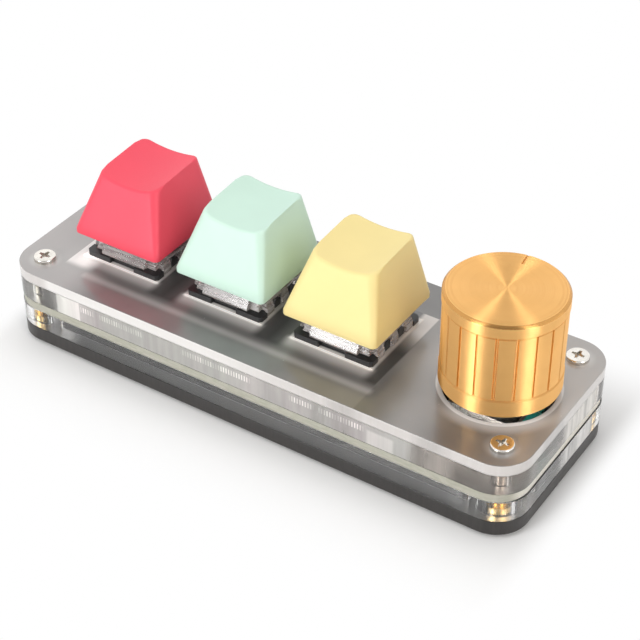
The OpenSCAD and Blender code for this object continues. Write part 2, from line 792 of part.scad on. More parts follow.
module encoder_rotor() {
    h = enc_base_h - chamber_floor - 2 * rotor_gap;
    hole = key_side + 2 * run_gap;
    color("#e9e4d8") translate([knob_x, 0, z_enc + chamber_floor + rotor_gap]) difference() {
        cylinder(r = rotor_d / 2, h = h);
        block([hole, hole, h + 2 * eps], [0, 0, -eps]);
        for (i = [0:9]) rotate([0, 0, 36 * i])
            translate([rotor_d / 2 - detent_in, 0, h - detent_deep]) cylinder(r = detent_r, h = 2 * detent_deep);
    }
}

module encoder_shaft() {
    round_foot = enc_base_h + push_travel + 0.1;
    color("#b9bdc0") translate([knob_x, 0, z_enc]) {
        block([key_side, key_side, round_foot - chamber_floor + eps], [0, 0, chamber_floor]);
        difference() {
            translate([0, 0, round_foot]) cylinder(r = shaft_d / 2, h = shaft_top - round_foot);
            block([shaft_d, shaft_d, flat_l + eps], [0, flat_r + shaft_d / 2, shaft_top - flat_l]);
        }
    }
}

module encoder_plunger() {
    color("#efefe9") translate([knob_x, 0, z_enc + chamber_floor - film - plunger_h]) cylinder(r = plunger_d / 2, h = plunger_h);
}

module encoder_pin(s, y) {
    reach = enc_pin_out + enc_pin_root;
    block([reach, enc_pin_w, enc_pin_t], [s * (enc_pin_x + enc_pin_t / 2 - reach / 2), y, enc_pin_z]);
    block([enc_pin_t, enc_pin_w, enc_pin_z + board_t + film + enc_pin_drop + enc_pin_t],
        [s * enc_pin_x, y, -board_t - film - enc_pin_drop]);
}

module encoder_pins() {
    color("#cfd2d4") translate([knob_x, 0, z_enc]) {
        for (y = [-1, 0, 1]) encoder_pin(-1, y * enc_pin_apart);
        for (y = [-1, 1]) encoder_pin(1, y * enc_pin_apart);
    }
}

// ---------------------------------------------------------------- knob

// Half section of the knob: plain band, fluted wall between two turned lines, band and bevel
module knob_profile() {
    low = knob_band_low;
    high = knob_h - knob_band_top;
    wall = knob_r - flute_inset;
    polygon([
        [0, 0], [knob_r - 0.2, 0], [knob_r, 0.2],
        [knob_r, low - line_w], [wall - line_w, low],
        [wall, low + line_w], [wall, high - line_w],
        [wall - line_w, high], [knob_r, high + line_w],
        [knob_r, knob_h - knob_bevel], [knob_r - knob_bevel, knob_h], [0, knob_h]]);
}

module knob_flutes() {
    low = z_knob + knob_band_low - line_w / 2;
    h = knob_h - knob_band_low - knob_band_top + line_w;
    for (i = [0:flutes - 1]) rotate([0, 0, 7.2 + 360 * i / flutes])
        translate([knob_r - flute_inset - flute_deep, -flute_w / 2, low]) cube([2, flute_w, h]);
}

module knob_shell() {
    notch_l = knob_r - pointer_in + 1;
    color("#e0a44e") translate([knob_x, 0, 0]) difference() {
        translate([0, 0, z_knob]) rotate_extrude($fn = 96) knob_profile();
        translate([0, 0, z_knob - eps]) cylinder(r = knob_r - knob_wall, h = knob_h - knob_top_t + eps);
        knob_flutes();
        rotate([0, 0, pointer_angle])
            translate([pointer_in, -pointer_w / 2, knob_top - 0.35]) cube([notch_l, pointer_w, 1]);
    }
}

// Section across the core: hub, outer ring and the ribs between them
module core_section() {
    in_r = core_r - ring_wall;
    circle(hub_r);
    difference() {
        circle(core_r);
        circle(in_r);
    }
    for (i = [0:ribs - 1]) rotate(360 * (i + 0.5) / ribs)
        translate([hub_r - 0.4, -rib_t / 2]) square([in_r - hub_r + 0.8, rib_t]);
}

module knob_core() {
    foot = z_knob + core_lift;
    h = core_ceiling - film - foot;
    bore_top = z_enc + shaft_top + 0.1;
    color("#33332f") translate([knob_x, 0, 0]) difference() {
        translate([0, 0, foot]) linear_extrude(h) core_section();
        translate([0, 0, foot - eps]) cylinder(r = bushing_d / 2 + sleeve_gap, h = sleeve_top - foot + eps);
        difference() {
            translate([0, 0, foot]) cylinder(r = shaft_d / 2 + core_gap, h = bore_top - foot);
            block([shaft_d + 1, shaft_d, flat_l], [0, flat_r + core_gap + shaft_d / 2, bore_top - flat_l + 0.2]);
        }
    }
}

// ---------------------------------------------------------------- nodes

bottom_plate();
lower_frame();
cover_spacer();
top_cover();
case_screws();
threaded_inserts();
rubber_feet();
circuit_board();
controller_chip();
board_parts();
key_lights();
socket_shell();
socket_tongue();
switch_base(left_x);  // switch_base_left
switch_base(middle_x);  // switch_base_middle
switch_base(right_x);  // switch_base_right
switch_cover(left_x);  // switch_cover_left
switch_cover(middle_x);  // switch_cover_middle
switch_cover(right_x);  // switch_cover_right
switch_stem(left_x);  // switch_stem_left
switch_stem(middle_x);  // switch_stem_middle
switch_stem(right_x);  // switch_stem_right
switch_spring(left_x);  // switch_spring_left
switch_spring(middle_x);  // switch_spring_middle
switch_spring(right_x);  // switch_spring_right
switch_contacts(left_x);  // switch_contacts_left
switch_contacts(middle_x);  // switch_contacts_middle
switch_contacts(right_x);  // switch_contacts_right
keycap(left_x, "#ef4257");  // keycap_left
keycap(middle_x, "#c3f0dc");  // keycap_middle
keycap(right_x, "#f8e9a0");  // keycap_right
encoder_base();
encoder_bushing();
encoder_bracket();
encoder_rotor();
encoder_shaft();
encoder_plunger();
encoder_pins();
knob_shell();
knob_core();
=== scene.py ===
import json
import math

import bmesh
import bpy
from mathutils import Matrix, Vector


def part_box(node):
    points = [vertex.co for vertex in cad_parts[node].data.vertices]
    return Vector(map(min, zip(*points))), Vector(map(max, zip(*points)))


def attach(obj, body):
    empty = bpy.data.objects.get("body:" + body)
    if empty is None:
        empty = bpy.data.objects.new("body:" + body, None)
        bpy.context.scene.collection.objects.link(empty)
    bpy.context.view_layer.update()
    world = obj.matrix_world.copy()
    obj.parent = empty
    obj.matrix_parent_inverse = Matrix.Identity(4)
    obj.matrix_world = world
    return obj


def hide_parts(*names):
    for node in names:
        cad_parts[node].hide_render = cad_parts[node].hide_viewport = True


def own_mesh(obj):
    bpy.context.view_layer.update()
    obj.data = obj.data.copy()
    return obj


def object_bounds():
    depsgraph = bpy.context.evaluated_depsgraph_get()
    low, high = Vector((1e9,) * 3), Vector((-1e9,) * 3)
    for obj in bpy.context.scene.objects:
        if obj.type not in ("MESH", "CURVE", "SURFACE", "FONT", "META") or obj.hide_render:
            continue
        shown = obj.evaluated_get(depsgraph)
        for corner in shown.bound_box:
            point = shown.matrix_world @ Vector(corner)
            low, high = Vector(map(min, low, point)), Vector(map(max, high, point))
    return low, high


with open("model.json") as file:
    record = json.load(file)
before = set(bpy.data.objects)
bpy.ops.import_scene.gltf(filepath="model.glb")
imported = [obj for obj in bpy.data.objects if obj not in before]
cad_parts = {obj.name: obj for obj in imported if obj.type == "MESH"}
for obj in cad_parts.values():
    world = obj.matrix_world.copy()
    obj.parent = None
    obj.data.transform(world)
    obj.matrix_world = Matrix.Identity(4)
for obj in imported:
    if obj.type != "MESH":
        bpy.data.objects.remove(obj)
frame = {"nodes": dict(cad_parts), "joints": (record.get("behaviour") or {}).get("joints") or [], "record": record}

bl_info = {
    "name": "Macro Keypad Finish",
    "version": (1, 0, 0),
    "blender": (4, 5, 0),
    "location": "3D View > Sidebar > Keypad",
    "description": "Dresses the macro keypad frame with its finishes and fine pieces, and sets its stage",
    "category": "Object",
}

MM, IN_MM = 0.001, 1000.0  # a millimetre in metres, and a metre in millimetres
NODES = frame["nodes"]
CAD_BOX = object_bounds()
KEYS = ("left", "middle", "right")
BODIES = frame["record"]["behaviour"]["bodies"]
BODY_OF = {node: body for body, members in BODIES.items() for node in members}
# In degrees: bends below the first are flat, and bends above the second are edges to round
FLAT_ANGLE, SHARP_ANGLE = 0.3, 35.0


def centre_of(node):
    low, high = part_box(node)
    return (low + high) / 2


# ---------------------------------------------------------------- settings


class KeypadSizes(bpy.types.PropertyGroup):
    """Sizes of the fine detail that the finish adds to the frame"""

    cover_edge: bpy.props.FloatProperty(
        name="Cover Edge", description="Rounding of the machined edges of the clear layers",
        default=0.00012, min=0.00002, max=0.0004, precision=5, unit="LENGTH")
    plate_edge: bpy.props.FloatProperty(
        name="Plate Edge", description="Rounding of the cut edges of the bottom plate",
        default=0.00015, min=0.00002, max=0.0005, precision=5, unit="LENGTH")
    moulded_edge: bpy.props.FloatProperty(
        name="Moulded Edge", description="Rounding of the edges of small moulded parts",
        default=0.00008, min=0.00002, max=0.0002, precision=5, unit="LENGTH")
    cap_edge: bpy.props.FloatProperty(
        name="Keycap Edge", description="Rounding round the top face of a keycap",
        default=0.00045, min=0.0001, max=0.001, precision=5, unit="LENGTH")
    flute_depth: bpy.props.FloatProperty(
        name="Flute Depth", description="Depth of the flutes round the knob",
        default=0.0003, min=0.0001, max=0.0005, precision=5, unit="LENGTH")
    spring_wire: bpy.props.FloatProperty(
        name="Spring Wire", description="Diameter of the wire of the switch springs",
        default=0.0003, min=0.0001, max=0.0005, precision=5, unit="LENGTH")
    thread_pitch: bpy.props.FloatProperty(
        name="Thread Pitch", description="Pitch of the thread on the case screws",
        default=0.0004, min=0.0003, max=0.0008, precision=5, unit="LENGTH")


class KeypadColours(bpy.types.PropertyGroup):
    """Colours of the visible plastics and metals"""

    left_cap: bpy.props.FloatVectorProperty(
        name="Left Keycap", description="Plastic of the left keycap",
        default=(0.83, 0.067, 0.110), min=0, max=1, size=3, subtype="COLOR")
    middle_cap: bpy.props.FloatVectorProperty(
        name="Middle Keycap", description="Plastic of the middle keycap",
        default=(0.57, 0.77, 0.665), min=0, max=1, size=3, subtype="COLOR")
    right_cap: bpy.props.FloatVectorProperty(
        name="Right Keycap", description="Plastic of the right keycap",
        default=(0.84, 0.695, 0.305), min=0, max=1, size=3, subtype="COLOR")
    knob: bpy.props.FloatVectorProperty(
        name="Knob", description="Anodised metal of the knob",
        default=(0.93, 0.54, 0.195), min=0, max=1, size=3, subtype="COLOR")
    encoder: bpy.props.FloatVectorProperty(
        name="Encoder", description="Plastic of the encoder's base",
        default=(0.05, 0.68, 0.58), min=0, max=1, size=3, subtype="COLOR")
    stem: bpy.props.FloatVectorProperty(
        name="Switch Stem", description="Plastic of the switch stems",
        default=(0.62, 0.05, 0.04), min=0, max=1, size=3, subtype="COLOR")


class KeypadStage(bpy.types.PropertyGroup):
    """Light and floor round the keypad"""

    floor_colour: bpy.props.FloatVectorProperty(
        name="Floor", description="Colour of the floor",
        default=(0.88, 0.88, 0.88), min=0, max=1, size=3, subtype="COLOR")
    room_light: bpy.props.FloatProperty(
        name="Room Light", description="Level of the even light from all sides", default=0.6, min=0, max=1)
    key_power: bpy.props.FloatProperty(
        name="Key Light", description="Power of the tall softbox at the front left",
        default=5.0, min=0, max=50, subtype="POWER", unit="POWER")
    side_power: bpy.props.FloatProperty(
        name="Side Light", description="Power of the tall softbox at the right",
        default=2.2, min=0, max=50, subtype="POWER", unit="POWER")
    top_power: bpy.props.FloatProperty(
        name="Top Light", description="Power of the softbox overhead",
        default=1.3, min=0, max=50, subtype="POWER", unit="POWER")


# ---------------------------------------------------------------- mesh helpers


def placed(name, bm):
    """An object in the scene that takes over the mesh of a bmesh."""
    mesh = bpy.data.meshes.new(name)
    bm.to_mesh(mesh)
    bm.free()
    piece = bpy.data.objects.new(name, mesh)
    bpy.context.scene.collection.objects.link(piece)
    return piece


def made(name, bm, body, slot, smooth):
    """Turns a bmesh into an object that rides on a body and takes a material slot."""
    bmesh.ops.recalc_face_normals(bm, faces=bm.faces)
    piece = placed(name, bm)
    piece.data.shade_smooth()
    piece.data.set_sharp_from_angle(angle=math.radians(smooth))
    piece.data.materials.append(finish_of(slot))
    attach(piece, body)
    return piece


def softened(node, name, width, above=None):
    """A copy of a CAD solid with its sharp edges rounded, or only those of them above a height."""
    source = NODES[node]
    bm = bmesh.new()
    bm.from_mesh(source.data)
    bmesh.ops.remove_doubles(bm, verts=bm.verts, dist=0.001 * MM)
    bmesh.ops.dissolve_limit(bm, angle_limit=math.radians(FLAT_ANGLE), verts=bm.verts, edges=bm.edges)
    sharp = [e for e in bm.edges if len(e.link_faces) == 2
             and e.calc_face_angle(0.0) > math.radians(SHARP_ANGLE)
             and (above is None or min(v.co.z for v in e.verts) > above)]
    round_off(bm, sharp, width, 2)
    piece = made(name, bm, BODY_OF[node], source.data.materials[0].name, 50.0)
    weigh_normals(piece)
    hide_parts(node)


def round_off(bm, edges, width, segments):
    bmesh.ops.bevel(bm, geom=edges, offset=width, segments=segments, profile=0.5, affect="EDGES",
                    clamp_overlap=True)


def weigh_normals(piece):
    """Keeps the wide flat faces flat in their shading, and lets only the small rounded edges turn."""
    modifier = piece.modifiers.new("weighted", "WEIGHTED_NORMAL")
    modifier.keep_sharp = True
    modifier.weight = 100
    settle(piece)


def settle(piece):
    """Applies the modifiers of a piece to its mesh."""
    bpy.context.view_layer.update()
    result = bpy.data.meshes.new_from_object(piece.evaluated_get(bpy.context.evaluated_depsgraph_get()))
    piece.modifiers.clear()
    piece.data = result


def ring(bm, points):
    return [bm.verts.new(p) for p in points]


def pairs(row):
    """Neighbours round a closed ring."""
    return zip(row, row[1:] + row[:1])


def skin(bm, rings):
    """Quads between closed rings of as many points, each joined to the next."""
    for a, b in zip(rings, rings[1:]):
        for (a0, a1), (b0, b1) in zip(pairs(a), pairs(b)):
            bm.faces.new((a0, a1, b1, b0))


def fan(bm, row, point):
    """Triangles that close a ring round a middle point."""
    middle = bm.verts.new(point)
    for a, b in pairs(row):
        bm.faces.new((a, b, middle))


def polar(x, y, z, r, a):
    """The point at a radius and an angle from an upright axis."""
    return Vector((x + r * math.cos(a), y + r * math.sin(a), z))


def circle_points(x, z, r, n):
    return [polar(x, 0, z, r, 2 * math.pi * i / n) for i in range(n)]


def rounded_loop(half_x, half_y, r, arc=8, side=10):
    """Points of a rounded rectangle, counted from the middle of its +X side, as (x, y)."""
    points = []
    corners = [(1, 1, 0), (-1, 1, 90), (-1, -1, 180), (1, -1, 270)]
    for k, (sx, sy, start) in enumerate(corners):
        for i in range(arc + 1):
            a = math.radians(start + 90 * i / arc)
            points.append((sx * (half_x - r) + r * math.cos(a), sy * (half_y - r) + r * math.sin(a)))
        sx, sy, start = corners[(k + 1) % 4]
        next_x = sx * (half_x - r) + r * math.cos(math.radians(start))
        next_y = sy * (half_y - r) + r * math.sin(math.radians(start))
        x, y = points[-1]
        for i in range(1, side):
            points.append((x + (next_x - x) * i / side, y + (next_y - y) * i / side))
    return points


# ---------------------------------------------------------------- shader values


def add(tree, kind, inputs=(), **settings):
    """A shader node with its settings, and its inputs linked to values or set to plain ones."""
    node = tree.nodes.new("ShaderNode" + kind)
    for name, setting in settings.items():
        setattr(node, name, setting)
    for name, given in dict(inputs).items():
        if isinstance(given, Value):
            tree.links.new(given.socket, node.inputs[name])
        else:
            node.inputs[name].default_value = given
    return node


def result(tree, kind, inputs=(), output=0, **settings):
    """One output of a new node."""
    return Value(tree, add(tree, kind, inputs, **settings).outputs[output])


def rule(operation, turned=False):
    """An arithmetic rule between a value and another or a number, as one node."""
    def reckon(self, other):
        a, b = (other, self) if turned else (self, other)
        return result(self.tree, "Math", {0: a, 1: b}, operation=operation)
    return reckon


class Value:
    """An output in a node tree, with which one reckons as with a number."""

    def __init__(self, tree, socket):
        self.tree, self.socket = tree, socket

    __add__, __radd__ = rule("ADD"), rule("ADD", True)
    __sub__, __rsub__ = rule("SUBTRACT"), rule("SUBTRACT", True)
    __mul__, __rmul__ = rule("MULTIPLY"), rule("MULTIPLY", True)
    __truediv__, __gt__, __lt__ = rule("DIVIDE"), rule("GREATER_THAN"), rule("LESS_THAN")

    def __abs__(self):
        return self.maths("ABSOLUTE")

    def maths(self, operation, other=0.0):
        return rule(operation)(self, other)

    def ramp(self, low, high, a=0.0, b=1.0):
        """Goes smoothly from a to b while the value goes from low to high."""
        return result(self.tree, "MapRange", {"Value": self, "From Min": low, "From Max": high, "To Min": a,
                                              "To Max": b}, interpolation_type="SMOOTHSTEP")

    def within(self, low, high, soft):
        """One between two values, with soft ends."""
        return self.ramp(low, low + soft) * self.ramp(high - soft, high, 1.0, 0.0)

    def mix(self, a, b):
        """From one number to another by this share."""
        return result(self.tree, "Mix", {0: self, 2: a, 3: b})

    def blend(self, a, b):
        """From one colour to another by this share."""
        return result(self.tree, "Mix", {0: self, 6: rgba(a), 7: rgba(b)}, 2, data_type="RGBA")

    def only_there(self, normal):
        """A bumped normal where this share is one, and the plain normal elsewhere."""
        plain = result(self.tree, "NewGeometry", output="Normal")
        return result(self.tree, "Mix", {0: self, 4: plain, 5: normal}, 1, data_type="VECTOR")


def chain(operation, first, *others):
    """One operation over many values, such as the least or the greatest of them."""
    for other in others:
        first = first.maths(operation, other)
    return first


def rgba(colour):
    return colour if isinstance(colour, Value) else (*colour[:3], 1.0)


def shade(colour, factor):
    return tuple(min(1.0, c * factor) for c in colour[:3])


def axes(vector):
    return [Value(vector.tree, socket) for socket in add(vector.tree, "SeparateXYZ", {0: vector}).outputs]


def millimetres(tree, stretch=(1.0, 1.0, 1.0)):
    """Place on the object in millimetres."""
    where = result(tree, "TexCoord", output="Object")
    return result(tree, "VectorMath", {0: where, 1: [IN_MM * s for s in stretch]}, operation="MULTIPLY")


def normals(tree):
    """Axes of the normal in the object's own space."""
    return axes(result(tree, "TexCoord", output="Normal"))


def upright(tree):
    """One on sides that stand upright, and none on level faces."""
    return abs(normals(tree)[2]).ramp(0.3, 0.6, 1.0, 0.0)


def from_axis(x, y, x0=0.0, y0=0.0):
    """Distance in the plane from an upright axis."""
    dx, dy = x - x0, y - y0
    return (dx * dx + dy * dy).maths("SQRT")


def grain(tree, scale, detail=3.0, stretch=(1.0, 1.0, 1.0), rough=0.5):
    """Noise with a scale in waves per millimetre."""
    return result(tree, "TexNoise", {"Vector": millimetres(tree, stretch), "Scale": scale, "Detail": detail,
                                     "Roughness": rough}, "Fac")


def bumped(height, strength, distance):
    return result(height.tree, "Bump", {"Height": height, "Strength": strength, "Distance": distance})


def emptied(block):
    """The node tree of a material or a world, emptied."""
    block.use_nodes = True
    block.node_tree.nodes.clear()
    return block.node_tree


# ---------------------------------------------------------------- finishes

# Each finish takes a node tree and gives the inputs of its Principled shader. Places are in millimetres.

KEYS_X = [centre_of("switch_cover_" + key).x * IN_MM for key in KEYS]
KNOB_X = centre_of("knob_shell").x * IN_MM
SCREW_RADIUS = 2.0
SCREW_X, SCREW_Y = (reach * IN_MM - SCREW_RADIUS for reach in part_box("case_screws")[1][:2])
# Reach of the painted dark field round the switches, painted shade over their opening: beyond the left and the
# right key, and to the front
FIELD_LEFT, FIELD_RIGHT, FIELD_FRONT = 9.5, 10.5, -11.35
FLANGE_HALF = 7.8
# Just inside the case's right end and its front
END_X, FRONT_Y = 50.5, -17.5
# Radius of the painted light halo round the knob's hole
PAINTED_HALO_RADIUS = 10.2
# Darker gold on the knob's polished bevel: a painted dark reflection
PAINTED_DARK_BEVEL_GOLD = (0.60, 0.315, 0.10)

FINISHES = {}


def moulded(tree, colour, rough=0.42, pores=3.0, height=0.00001, mottle=0.06):
    """Moulded plastic: fine pores, slight mottling and uneven gloss."""
    cloud = grain(tree, 0.25, 2.0).ramp(0.3, 0.7)
    fine = grain(tree, pores, 4.0, rough=0.6)
    return dict(ior=1.5, base_color=cloud.blend(shade(colour, 1 - mottle), shade(colour, 1 + mottle)),
                roughness=fine.ramp(0.25, 0.75, rough - 0.06, rough + 0.06), normal=bumped(fine, 0.5, height))


def metal(tree, colour, rough=0.25, lines=6.0, stretch=(1.0, 1.0, 0.05), height=0.000004):
    """Machined or pressed metal: fine tool lines along one way and faint stains."""
    cloud = grain(tree, 0.5).ramp(0.35, 0.7)
    drawn = grain(tree, lines, 2.0, stretch)
    return dict(metallic=1.0, base_color=cloud.blend(shade(colour, 0.88), colour),
                roughness=drawn.ramp(0.3, 0.7, rough * 0.75, rough * 1.3), normal=bumped(drawn, 0.6, height))


def cut_lines(tree, height):
    """Upright striations that a laser or mill leaves on a cut side, and their bump."""
    lines = (grain(tree, 1.6, 2.0, (1.0, 1.0, 0.02)) * 0.65
             + grain(tree, 7.0, 2.0, (1.0, 1.0, 0.04)) * 0.35)
    return lines, bumped(lines, 0.7, height)


def black_acrylic(tree):
    """Black sheet with faint scratches and duller, striated sides."""
    side = upright(tree)
    lines, lined = cut_lines(tree, 0.00003)
    scratch = grain(tree, 0.8, 5.0, (1.0, 0.25, 1.0), 0.7)
    cut_tone = lines.ramp(0.3, 0.7).blend((0.022, 0.020, 0.019), (0.032, 0.029, 0.027))
    return dict(ior=1.49, base_color=side.blend((0.010, 0.010, 0.011), cut_tone),
                roughness=scratch.ramp(0.4, 0.8, 0.06, 0.22) + side * 0.28, normal=side.only_there(lined))


def clear_acrylic(tree):
    """Clear sheet with satin faces and striated laser-cut sides, milky where the cut is thick, with painted light
    and shade on the sides.
    """
    left, centre, right = KEYS_X
    low, high = (corner * IN_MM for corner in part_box("cover_spacer"))
    x, y, z = axes(millimetres(tree))
    side, aside = upright(tree), abs(x)
    lines, lined = cut_lines(tree, 0.000008)
    upper = z > low.z - 0.01
    # The stretch between the corner blocks, and a milky share at the ends
    middle = aside.ramp(38.0, 41.5, 1.0, 0.0)
    flank = (aside.ramp(high.x - 0.4, high.x - 0.1) * y.within(-3.0, 12.0, 3.5)
             * grain(tree, 0.5, 3.0, (1.0, 1.0, 0.1), 0.6).ramp(0.35, 0.65, 0.55, 1.25))
    # Painted light: milkier patches on the spacer in front of the ends of the opening, less milk towards the
    # right, and streaks between them
    painted_light_left = x.within(left - 7.0, left - 1.5, 0.4)
    painted_light_right = x.within(right + 13.0, right + 18.5, 0.6) * z.ramp(high.z - 1.4, high.z - 0.8, 1.0, 0.0)
    streaks = grain(tree, 0.22, 3.0, (1.0, 1.0, 0.15), 0.6)
    spacer_milk_with_painted_light = (middle * x.ramp(-5.0, 25.0, 0.34, 0.24) + 0.10 + painted_light_left * 0.42 + painted_light_right * 0.22
              + flank * 0.66 + streaks.ramp(0.35, 0.65, -0.06, 0.06))
    milk = upper.mix(0.02 + flank * 0.5, spacer_milk_with_painted_light) * lines.ramp(0.3, 0.7, 0.94, 1.05)
    # Rows of short upright ticks near the spacer's top
    beat = (x * 1.9).maths("FRACT") < 0.5
    rows = chain("MAXIMUM", *(x.within(key - 2.0, key + 13.0, 1.5) for key in KEYS_X))
    ticks = beat * rows * upper * z.within(high.z - 1.9, high.z - 0.6, 0.2) * streaks.ramp(0.35, 0.6)
    milk = milk + ticks * 0.5
    tone_and_painted_knob_shade = grain(tree, 0.12, 2.0, (1, 1, 0.2)).ramp(0.4, 0.65).blend((0.80, 0.79, 0.75), (0.86, 0.80, 0.79))
    # Painted shade: a darker, browner patch on the spacer's sides below the gold knob
    tone_and_painted_knob_shade = x.within(right + 20.0, 52.0, 3.0).blend(tone_and_painted_knob_shade, (0.68, 0.62, 0.57))
    shadow = x.ramp(centre - 8.0, right + 8.0).blend((0.69, 0.69, 0.68), (0.57, 0.56, 0.55))
    clear = ((1.0 - upper) * middle).blend((0.98, 0.975, 0.965), shadow)
    return dict(ior=1.49, base_color=(side * upper).blend(clear, tone_and_painted_knob_shade), transmission_weight=1.0 - milk * side,
                roughness=0.3 - side * 0.22, normal=side.only_there(lined))


def satin_acrylic(tree):
    """Cover sheet: a satin top whose painted tones stand in for what shows through it and for light and shade, and
    milky cut sides.
    """
    left, centre, right = KEYS_X
    x, y = axes(millimetres(tree))[:2]
    across = abs(y)
    # Grey of the sheet over the clear spacer, with painted light: paler at the left end and towards the back right
    right_painted_light = x.ramp(right + 11.0, right + 20.0, -0.04, 0.07) + y.ramp(-9.0, 1.0, 0.0, 0.16)
    open_tone_with_painted_light = (0.117 + x.ramp(left - 7.0, left + 1.5, 0.20, 0.0) + y.ramp(FRONT_Y, -13.0, -0.015, 0.01)
                 + x.ramp(right + 10.4, right + 10.8) * right_painted_light
                 + grain(tree, 0.09).ramp(0.35, 0.65, -0.012, 0.012))
    # Painted tone over the opening for the switches: painted shade, with painted light at the ends where its cut
    # walls stand free
    from_left, from_right, from_front = x - (left - FIELD_LEFT), right + FIELD_RIGHT - x, y - FIELD_FRONT
    inside = (from_left.ramp(-0.1, 0.1) * from_right.ramp(-0.2, 0.2) * from_front.ramp(-0.9, 0.9)
              * y.ramp(9.6, 9.8, 1.0, 0.0))
    back = y.ramp(-2.0, 6.0)
    painted_shade_tone = (0.02 + back * 0.03 + from_left.ramp(2.8, 6.4, 0.78, 0.0)
                 + from_right.ramp(2.4, 3.4, 1.0, 0.0) * (back * 0.72))
    # Painted light, standing in for light that the cut edges carry: round the flanges, along the front border, by
    # the knob and the screws
    asides = [abs(x - key) for key in KEYS_X]
    nearest = chain("MINIMUM", *(aside.maths("MAXIMUM", across) for aside in asides))
    painted_flange_light = nearest.ramp(7.9, 8.5, 0.5, 0.0) + nearest.ramp(8.0, 12.5, 0.045, 0.0)
    ahead = -FLANGE_HALF - y
    line = chain("MAXIMUM", *(aside.ramp(7.7, 8.4, 1.0, 0.0) for aside in asides))
    front = chain("MAXIMUM", *(aside.ramp(7.2, 9.2, 1.0, 0.0) for aside in asides))
    painted_light_spill = (front * ahead.ramp(-0.6, 0.6) * ahead.ramp(-0.6, 4.2, 0.60, 0.0)
             + line * (ahead > 0.0) * ahead.ramp(0.4, 1.0, 0.42, 0.0))
    painted_border_light = from_front.within(-2.9, -0.4, 1.2) * 0.14 * x.within(left - 5.0, right + 11.5, 1.0)
    from_knob = from_axis(x, y, KNOB_X)
    forward = ((x - KNOB_X) * 0.42 - y * 0.91) / from_knob
    painted_knob_halo = (from_knob.ramp(PAINTED_HALO_RADIUS, 10.45, 0.4, 0.0)
            + from_knob.ramp(PAINTED_HALO_RADIUS, 12.9, 0.40, 0.0) * forward.ramp(0.5, 0.9))
    painted_screw_glow = from_axis(abs(x), across, SCREW_X, SCREW_Y).ramp(SCREW_RADIUS, 3.4, 0.10, 0.0)
    specks = add(tree, "TexVoronoi", {"Vector": millimetres(tree), "Scale": 0.45}).outputs
    rare = axes(Value(tree, specks["Color"]))[0] > 0.55
    speck = (Value(tree, specks["Distance"]) < 0.03) * rare
    shade_front = from_axis(x, y, KNOB_X + 1.5, -14.5).ramp(2.0, 9.0, -0.085, 0.0)
    tone = inside.mix(open_tone_with_painted_light, painted_shade_tone) + painted_flange_light + painted_light_spill + painted_border_light + painted_knob_halo + painted_screw_glow + shade_front + speck * 0.25
    grey = result(tree, "CombineColor", {0: tone, 1: tone, 2: tone})
    warm = result(tree, "Mix", {0: 1.0, 6: grey, 7: (1.0, 0.965, 0.94, 1)}, 2, data_type="RGBA",
                  blend_type="MULTIPLY")
    # Milky sides, painted lighter along the opening, and painted darker in stretches along the front towards the
    # right end and on the right end
    lines, lined = cut_lines(tree, 0.000012)
    along = x.ramp(left - 10.0, left - 8.0) * x.ramp(centre, right + 4.0, 1.0, 0.0)
    wave = ((x - (right + 4.8)) * (math.pi / 8)).maths("SINE")
    painted_darker_stretches = chain("MAXIMUM", wave * x.ramp(right, right + 7.0) * (y < FRONT_Y),
                 y.within(-10.0, -0.5, 2.0) * (x > END_X))
    milk = along.blend((0.56, 0.53, 0.51), (0.73, 0.71, 0.69))
    milk = (painted_darker_stretches * 0.5).blend(milk, (0.28, 0.26, 0.25))
    milk = lines.ramp(0.3, 0.7, 0.0, 0.12).blend(milk, (0.85, 0.84, 0.82))
    top = normals(tree)[2].ramp(0.4, 0.8)
    return dict(ior=1.49, coat_weight=1.0, coat_ior=1.75, coat_roughness=0.2, roughness=0.5,
                base_color=top.blend(milk, warm), normal=(1.0 - top).only_there(lined))


def board_finish(tree):
    """Solder mask on the faces, with copper runs under it, and bare glass-fibre sheet at the edges."""
    side = upright(tree)
    track = result(tree, "TexVoronoi", {"Vector": millimetres(tree), "Scale": 0.32, "Randomness": 0.75},
                   "Distance", feature="DISTANCE_TO_EDGE").ramp(0.03, 0.05, 1.0, 0.0)
    plies = grain(tree, 5.0, 2.0, (0.15, 0.15, 1.0)).ramp(0.3, 0.7)
    mask = track.blend((0.020, 0.021, 0.023), (0.035, 0.037, 0.038))
    # Painted light: the ends that face along X are painted paler
    painted_light_ends = abs(normals(tree)[0]).ramp(0.75, 0.97, 0.0, 0.85)
    edge = painted_light_ends.blend(plies.blend((0.36, 0.36, 0.29), (0.44, 0.43, 0.37)), (0.78, 0.75, 0.68))
    return dict(ior=1.5, base_color=side.blend(mask, edge), roughness=0.22 + side * 0.4,
                normal=bumped(track, 0.5, 0.00003))


def chip_finish(tree):
    """Black moulded body with bright leads at its two long sides."""
    lead = abs(axes(millimetres(tree))[1] - centre_of("controller_chip").y * IN_MM) > 2.005
    return dict(ior=1.5, base_color=lead.blend((0.02, 0.02, 0.021), (0.72, 0.72, 0.70)), metallic=lead,
                roughness=lead.ramp(0.0, 1.0, 0.5, 0.25), normal=bumped(grain(tree, 8.0), 0.4, 0.00001))


def clear_plastic(tree):
    """Clear moulded plastic with faint level bands."""
    fine = grain(tree, 1.2)
    bands = grain(tree, 2.4, 2.0, (0.06, 0.06, 1.0)).ramp(0.4, 0.6)
    return dict(ior=1.58, transmission_weight=0.7,
                base_color=bands.blend((0.62, 0.57, 0.56), (0.94, 0.90, 0.88)),
                roughness=fine.ramp(0.3, 0.7, 0.05, 0.14), normal=bumped(fine, 0.3, 0.000006))


